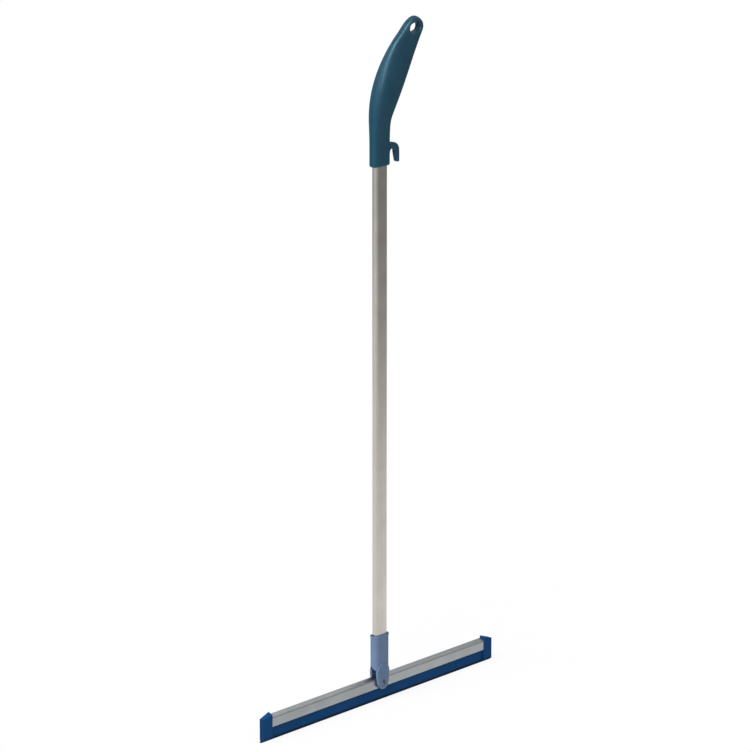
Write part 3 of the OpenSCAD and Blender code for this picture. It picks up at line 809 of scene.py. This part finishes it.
out_r, in_r = TUBE_D / 2, TUBE_D / 2 - TUBE_WALL
rings = [(out_r - TUBE_EDGE, TUBE_LOW), (out_r, TUBE_LOW + TUBE_EDGE)]
rings += [(out_r, z) for z in np.linspace(TUBE_LOW, TUBE_TOP, TUBE_CUTS)[1:-1]]
rings += [(out_r, TUBE_TOP - TUBE_EDGE), (out_r - TUBE_EDGE, TUBE_TOP)]
rings += [(in_r + TUBE_EDGE, TUBE_TOP), (in_r, TUBE_TOP - TUBE_EDGE)]
rings += [(in_r, TUBE_LOW + TUBE_EDGE), (in_r + TUBE_EDGE, TUBE_LOW)]
points, faces = sweep([oval_ring(r, z) for r, z in rings])
piece("tube_shaft", "handle", "handle_tube", TUBE, points, faces, sharp=SHARP_DRAWN)


def small_screw(name, node, x0, z0, seat, length):
    """Cross-head screw that points to -Y, with the underside of its head at seat."""
    def field(x, y, z):
        r = np.hypot(x - x0, z - z0)
        head = both(r - SCREW_HEAD_R, span(y, seat, seat + SCREW_HEAD_H), SCREW_HEAD_EDGE)
        ends = np.minimum(np.abs(x - x0) - CROSS_W / 2, np.abs(z - z0) - CROSS_W / 2)
        cross = np.maximum(np.maximum(ends, r - CROSS_REACH), seat + SCREW_HEAD_H - CROSS_D - y)
        shank = both(r - SCREW_R, span(y, seat - length, seat + LAP), SCREW_TIP_EDGE)
        return either(less(head, cross, CROSS_EDGE), shank, SCREW_FILLET)
    grid = about(x0, z0, SMALL_SCREW_REACH, seat - length, seat + SCREW_HEAD_H, SMALL_SCREW_GRID)
    points, faces, normals = net(field, *grid)
    piece(name, "handle", node, STEEL, points, faces, normals)


small_screw("tube_screw", "socket_screw", 0, SOCKET_SCREW_Z, SOCKET_D / 2, SOCKET_D / 2 + SOCKET_TIP)


# Grip

def ease(a, b, t):
    """Smooth way from a to b while t goes from 0 to 1."""
    return a + (b - a) * (1 - np.cos(math.pi * np.clip(t, 0, 1))) / 2


def grip_form(z):
    """Middle, half width, half thickness and climbed share of the rounded top, z over the collar."""
    t = np.clip(z - BEND_START, 0, BACK_R)
    back = -HALF_COLLAR + BACK_R - np.sqrt(BACK_R ** 2 - t ** 2)
    palm = HALF_COLLAR + PALM_SLOPE * PALM_SOFT * np.logaddexp(0, (z - BEND_START) / PALM_SOFT)
    u = np.clip((z - CAP_Z) / TIP_H, 0, None)
    half = GRIP_LEN / 2
    thick = np.where(z < half, ease(COLLAR_T, BELLY_T, (z - COLLAR_H) / (half - COLLAR_H)),
                     ease(BELLY_T, TOP_T, (z - half) / (CAP_Z - half)))
    return (back + palm) / 2 + CAP_SHIFT * u ** 2, (palm - back) / 2, thick / 2, u


def screw_seat(z):
    """Seat of a grip screw's head in Y, under the back of the grip."""
    return float(grip_form(np.array(z))[2]) - SCREW_HEAD_H - SINK_D


for node, (x0, z0) in GRIP_SCREWS.items():
    seat = screw_seat(z0)
    small_screw(node.replace("screw", "fixing"), node, x0, COLLAR_Z + z0, seat, 2 * seat - SCREW_SHORT)


def hook_outline(x, z):
    """Side hook from the collar: root, arched crown and a leg that thins to its tip."""
    gap_r = HOOK_GAP / 2
    leg = HALF_COLLAR + HOOK_GAP
    out, top, arch = leg + HOOK_T, HOOK_Z + HOOK_ROOT, HOOK_Z - gap_r
    turn = gap_r + HOOK_T - HOOK_FLAT
    root = np.maximum(span(x, 0, out - turn), span(z, arch, top))
    crown = np.maximum(np.hypot(x - out + turn, z - top + turn) - turn, top - turn - z)
    end_r = (HOOK_T - HOOK_THIN) / 2
    inside = leg + HOOK_THIN * np.clip((arch - z) / (arch - HOOK_TIP - end_r), 0, 1)
    shaft = np.maximum(np.maximum(inside - x, x - out), span(z, HOOK_TIP + end_r, top - turn))
    tip = np.hypot(x - out + end_r, z - HOOK_TIP - end_r) - end_r
    hook = np.minimum(np.minimum(root, crown), np.minimum(shaft, tip))
    gap = np.minimum(np.hypot(x - HALF_COLLAR - gap_r, z - arch) - gap_r,
                     np.maximum(span(x, HALF_COLLAR - LAP, leg), z - arch))
    return np.maximum(hook, -gap)


def grip_body(x, y, z):
    """Outside of the grip without its hook: a squared oval section that closes in a rounded top."""
    mid, half_x, half_y, u = grip_form(z)
    px, ay = np.abs(x - mid), np.abs(y)
    rho = ((px / half_x) ** GRIP_SQUARE + (ay / half_y) ** GRIP_SQUARE) ** (1 / GRIP_SQUARE) + 1e-6
    level = np.sqrt(rho ** 2 + u ** CAP_POWER)
    across = np.hypot(px / half_x ** 2, ay / half_y ** 2) / level + 1e-6
    climb = CAP_POWER * u ** (CAP_POWER - 1) / (2 * TIP_H * level)
    return both((level - 1) / np.hypot(across, climb), -z, COLLAR_EDGE)


def hang_hole(x, y, z):
    """Oval hole that widens towards both faces."""
    deep = np.abs(y) - HANG_LAND / 2
    turn, flare = math.radians(HANG_TURN), math.radians(HANG_FLARE)
    along = (x - HANG_X) * math.sin(turn) + (z - HANG_Z) * math.cos(turn)
    across = (x - HANG_X) * math.cos(turn) - (z - HANG_Z) * math.sin(turn)
    wider = math.tan(flare) * (deep + np.sqrt(deep ** 2 + 1)) / 2
    return (oval(along, across, HANG_L, HANG_W) - wider) * math.cos(flare / 2)


def grip_field(x, y, z):
    """Whole grip with its hook, less the hole, the tube's pocket and the screw holes."""
    z = z - COLLAR_Z
    hook = both(hook_outline(x, z), np.abs(y) - HOOK_W / 2, HOOK_EDGE)
    solid = either(grip_body(x, y, z), hook, HOOK_FILLET)
    solid = less(solid, hang_hole(x, y, z), HANG_EDGE)
    pocket = np.maximum(tube_room(x, y), z - (TUBE_TOP - COLLAR_Z) - POCKET_PAST)
    solid = less(solid, pocket, POCKET_EDGE)
    for x0, z0 in GRIP_SCREWS.values():
        r, seat = np.hypot(x - x0, z - z0), screw_seat(z0)
        solid = less(solid, np.maximum(r - SCREW_HEAD_R - 2 * SEAT_FIT, seat - y), SINK_EDGE)
        solid = less(solid, np.maximum(r - SCREW_R - RUN_FIT, -y - seat), SCREW_HOLE_EDGE)
    return solid


grip_parts = bpy.data.collections.new("grip_parts")
xs = steps(*GRIP_GRID_X, GRIP_GRID)
zs = steps(COLLAR_Z - GRIP_ROOM, COLLAR_Z + GRIP_LEN + GRIP_ROOM, GRIP_GRID)
for name, node, side in (("grip_half_front", "grip_front_shell", -1),
                         ("grip_half_back", "grip_back_shell", 1)):
    ys = np.sort(side * steps(*GRIP_GRID_Y, GRIP_GRID))
    points, faces, normals = net(lambda x, y, z: both(grip_field(x, y, z), -side * y, SEAM), xs, ys, zs)
    grip_parts.objects.link(piece(name, "handle", node, GRIP, points, faces, normals))

for node in ("lower_plug", "upper_plug"):
    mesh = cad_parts[node].data
    mesh.materials.clear()
    mesh.materials.append(PLUG)


# Floor, light and camera, in metres and degrees

FLOOR_SIZE = 80
FLOOR_GLOW = 0.86
FLOOR_SEEN = (0.16, 0.16, 0.16, 1)
FLOOR_PLAIN = (0.8, 0.8, 0.8, 1)
WORLD_SEEN = 1.0
WORLD_SOFT = 0.355
KEY_ENERGY = 2.5
KEY_ANGLE = 48
KEY_WAY = Vector((0.755, 0.10, -0.648))
SCREEN_R = 2.7
SCREEN_H = 1.5
SCREEN_AT = (-0.8, 0.3, SCREEN_H / 2)
SCREEN_GLOW = 0.2
CARD_SIZE = 1.3
CARD_AIM = Vector((0.01, 0, 1.05))
CARD_WAY = Vector((-0.16, -0.76, 0.63)).normalized()
CARD_FAR = 2.5
CARD_TONE = (0.58, 0.86, 1.0, 1)
CARD_GLOW = 42
CAMERA_TURN = 47.52
CAMERA_PITCH = 14.50
CAMERA_FAR = 5.677
CAMERA_AIM_Z = 0.5453
CAMERA_ASIDE = -0.00565
CAMERA_LENS = 170.28
CAMERA_SENSOR = 36
CAMERA_CLIP = 200
WHITE = (1, 1, 1, 1)


def light_path(tree):
    """1 for what the camera, mirrors and glass see."""
    path = tree.nodes.new("ShaderNodeLightPath")
    total = path.outputs["Is Camera Ray"]
    for name in ("Is Glossy Ray", "Is Transmission Ray"):
        node = tree.nodes.new("ShaderNodeMath")
        node.operation = "MAXIMUM"
        tree.links.new(total, node.inputs[0])
        tree.links.new(path.outputs[name], node.inputs[1])
        total = node.outputs[0]
    return total


def emptied(owner):
    """Node tree of a material or world, cleared."""
    owner.use_nodes = True
    owner.node_tree.nodes.clear()
    return owner.node_tree


def light_node(tree, kind, tone, strength=None):
    """New shader node of one tone, and its output."""
    node = tree.nodes.new(kind)
    node.inputs["Color"].default_value = tone
    if strength is not None:
        node.inputs["Strength"].default_value = strength
    return node.outputs[0]


def pick_by_path(tree, output, unseen, seen):
    """Show one shader to the camera, mirrors and glass, and another to all other light."""
    pick = tree.nodes.new("ShaderNodeMixShader")
    tree.links.new(light_path(tree), pick.inputs[0])
    tree.links.new(unseen, pick.inputs[1])
    tree.links.new(seen, pick.inputs[2])
    tree.links.new(pick.outputs[0], tree.nodes.new(output).inputs["Surface"])


def glossy_glow(obj, name, tone, strength):
    """Make a panel that only glossy surfaces see."""
    material = bpy.data.materials.new(name)
    tree = emptied(material)
    output = tree.nodes.new("ShaderNodeOutputMaterial")
    tree.links.new(light_node(tree, "ShaderNodeEmission", tone, strength), output.inputs["Surface"])
    obj.data.materials.append(material)
    obj.visible_camera = obj.visible_diffuse = obj.visible_shadow = obj.visible_transmission = False


bpy.ops.mesh.primitive_plane_add(size=FLOOR_SIZE)
floor = bpy.context.object
floor.name = "floor"
paper = bpy.data.materials.new("floor_paper")
tree = emptied(paper)
both_lights = tree.nodes.new("ShaderNodeAddShader")
tree.links.new(light_node(tree, "ShaderNodeEmission", WHITE, FLOOR_GLOW), both_lights.inputs[0])
tree.links.new(light_node(tree, "ShaderNodeBsdfDiffuse", FLOOR_SEEN), both_lights.inputs[1])
plain = light_node(tree, "ShaderNodeBsdfDiffuse", FLOOR_PLAIN)
pick_by_path(tree, "ShaderNodeOutputMaterial", plain, both_lights.outputs[0])
floor.data.materials.append(paper)

world = bpy.data.worlds.new("studio")
bpy.context.scene.world = world
tree = emptied(world)
pick_by_path(tree, "ShaderNodeOutputWorld", light_node(tree, "ShaderNodeBackground", WHITE, WORLD_SOFT),
             light_node(tree, "ShaderNodeBackground", WHITE, WORLD_SEEN))

key = bpy.data.lights.new("key", "SUN")
key.energy, key.angle = KEY_ENERGY, math.radians(KEY_ANGLE)
key_lamp = bpy.data.objects.new("key", key)
key_lamp.rotation_euler = KEY_WAY.to_track_quat("-Z", "Y").to_euler()
bpy.context.scene.collection.objects.link(key_lamp)

# grey screens round the set, outside every picture: metal shows them, as in a studio
bpy.ops.mesh.primitive_cylinder_add(vertices=ROUND_SIDES, radius=SCREEN_R, depth=SCREEN_H,
                                    end_fill_type="NOTHING", location=SCREEN_AT)
screens = bpy.context.object
screens.name = "screens"
glossy_glow(screens, "screen_grey", WHITE, SCREEN_GLOW)

# soft card over the front, outside every picture, for the sheen on the grip alone: metal would mirror it
bpy.ops.mesh.primitive_plane_add(size=CARD_SIZE, location=CARD_AIM + CARD_WAY * CARD_FAR,
                                 rotation=CARD_WAY.to_track_quat("Z", "Y").to_euler())
card = bpy.context.object
card.name = "card"
glossy_glow(card, "card_pale", CARD_TONE, CARD_GLOW)
card.light_linking.receiver_collection = grip_parts

turn, pitch = math.radians(CAMERA_TURN), math.radians(CAMERA_PITCH)
right = Vector((math.cos(turn), -math.sin(turn), 0))
ahead = Vector((math.sin(turn) * math.cos(pitch), math.cos(turn) * math.cos(pitch), -math.sin(pitch)))
camera_data = bpy.data.cameras.new("camera")
camera_data.lens, camera_data.sensor_width = CAMERA_LENS, CAMERA_SENSOR
camera_data.clip_end = CAMERA_CLIP
camera = bpy.data.objects.new("camera", camera_data)
camera.location = Vector((0, 0, CAMERA_AIM_Z)) - ahead * CAMERA_FAR + right * CAMERA_ASIDE
camera.rotation_euler = ahead.to_track_quat("-Z", "Y").to_euler()
bpy.context.scene.collection.objects.link(camera)
bpy.context.scene.camera = camera
bpy.context.scene.view_settings.view_transform = "Standard"
